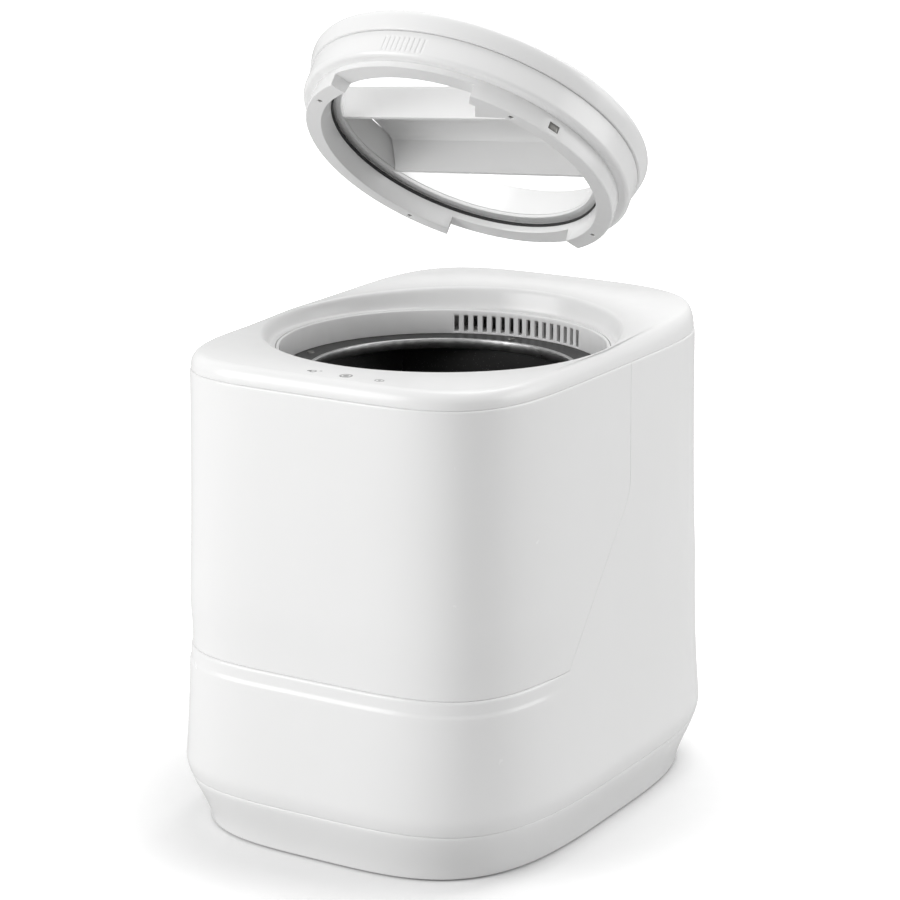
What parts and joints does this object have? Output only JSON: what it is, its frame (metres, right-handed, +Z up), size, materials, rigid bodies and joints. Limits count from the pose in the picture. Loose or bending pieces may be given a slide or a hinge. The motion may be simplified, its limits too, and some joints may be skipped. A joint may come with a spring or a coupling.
{
  "type": "electric food waste composter",
  "caption": "Rounded floor-standing kitchen composter with a lift-off round lid over a feed opening, and a geared mixing shaft in a heated trough.",
  "frame": {"origin": "middle of the footprint, on the floor", "axes": "+Z up; the front with the touch symbols faces -Y; +X is the right side seen from the front"},
  "size_m": [0.3672, 0.4724, 0.7112],
  "materials": {
    "white_plastic": "gloss moulded",
    "black_rubber": "matt",
    "black_plastic": "satin moulded",
    "stainless": "brushed",
    "zinc_steel": "plated",
    "dark_coating": "satin non-stick",
    "painted_steel": "satin",
    "heater_silicone": "matt",
    "brass": "turned",
    "motor_metal": "satin",
    "circuit_green": "solder mask",
    "duct_plastic": "moulded",
    "gear_steel": "cut",
    "gear_nylon": "moulded",
    "fan_plastic": "moulded",
    "red_plastic": "gloss",
    "clear_plastic": "clear",
    "icon_grey": "printed"
  },
  "bodies": {
    "housing": {"base_tray": "white_plastic", "feet": "black_rubber", "base_screws": "zinc_steel", "body_shell": "white_plastic", "front_cover": "white_plastic", "deck": "white_plastic", "feed_collar": "white_plastic", "chamber_rim": "black_plastic", "rim_band": "stainless", "rim_screws": "zinc_steel", "touch_icons": "icon_grey", "touch_board": "circuit_green", "chamber": "dark_coating", "chamber_cradle": "painted_steel", "heater_mat": "heater_silicone", "temp_sensor": "brass", "shaft_seals": "black_rubber", "bearing_left": "painted_steel", "bearing_right": "painted_steel", "drive_plate": "painted_steel", "idler_axle": "stainless", "axle_clip": "zinc_steel", "gearmotor": "motor_metal", "main_board": "circuit_green", "board_posts": "brass", "air_duct": "duct_plastic", "fan_frame": "black_plastic", "filter_canister": "duct_plastic", "filter_cap": "duct_plastic", "exhaust_elbow": "duct_plastic", "rear_panel": "white_plastic", "power_inlet": "black_plastic", "switch_bezel": "black_plastic"},
    "mixer": {"mixing_shaft": "stainless", "mixing_paddles": "stainless", "shaft_gear": "gear_steel"},
    "idler": {"idler_gear": "gear_nylon"},
    "pinion": {"motor_pinion": "gear_steel", "motor_shaft": "stainless"},
    "fan": {"fan_rotor": "fan_plastic"},
    "rocker": {"power_rocker": "red_plastic"},
    "lid": {"lid_skirt": "white_plastic", "lid_ring": "white_plastic", "lid_gasket": "black_rubber", "lid_window": "clear_plastic", "window_retainer": "white_plastic", "lid_screws": "zinc_steel"},
    "lid_top": {"lid_cap": "white_plastic", "lid_handle": "white_plastic"},
    "bolt_left": {"lock_bolt_left": "zinc_steel"},
    "bolt_right": {"lock_bolt_right": "zinc_steel"}
  },
  "joints": [
    {"name": "lid_travel", "type": "hinge", "parent": "housing", "child": "lid", "pos_m": [0, 0.232, 0.447], "axis": [1, 0, 0], "range_deg": [0, 40]},
    {"name": "cap_twist", "type": "hinge", "parent": "lid", "child": "lid_top", "pos_m": [0, 0.01314, 0.56577], "axis": [0, -0.6428, -0.766], "range_deg": [0, 30]},
    {"name": "bolt_left_slide", "type": "slide", "parent": "lid", "child": "bolt_left", "axis": [-0.866, -0.383, 0.3214], "range_m": [0, 0.0061]},
    {"name": "bolt_right_slide", "type": "slide", "parent": "lid", "child": "bolt_right", "axis": [0.866, -0.383, 0.3214], "range_m": [0, 0.0061]},
    {"name": "mixer_spin", "type": "hinge", "parent": "housing", "child": "mixer", "pos_m": [0, -0.012, 0.188], "axis": [1, 0, 0], "continuous": true},
    {"name": "idler_spin", "type": "hinge", "parent": "housing", "child": "idler", "pos_m": [0.139, 0.09615, 0.188], "axis": [1, 0, 0], "continuous": true},
    {"name": "pinion_spin", "type": "hinge", "parent": "housing", "child": "pinion", "pos_m": [0.139, 0.1553, 0.188], "axis": [1, 0, 0], "continuous": true},
    {"name": "fan_spin", "type": "hinge", "parent": "housing", "child": "fan", "pos_m": [-0.042, 0.175, 0.3385], "axis": [0, 0, 1], "continuous": true},
    {"name": "rocker_tilt", "type": "hinge", "parent": "housing", "child": "rocker", "pos_m": [0.032, 0.22238, 0.143], "axis": [1, 0, 0], "range_deg": [-16, 0]}
  ],
  "couplings": [
    {"joint": "bolt_left_slide", "follows": "cap_twist", "m_per_rad": 0.0114},
    {"joint": "bolt_right_slide", "follows": "cap_twist", "m_per_rad": 0.0114},
    {"joint": "idler_spin", "follows": "mixer_spin", "ratio": -2},
    {"joint": "pinion_spin", "follows": "mixer_spin", "ratio": 3.1304}
  ]
}
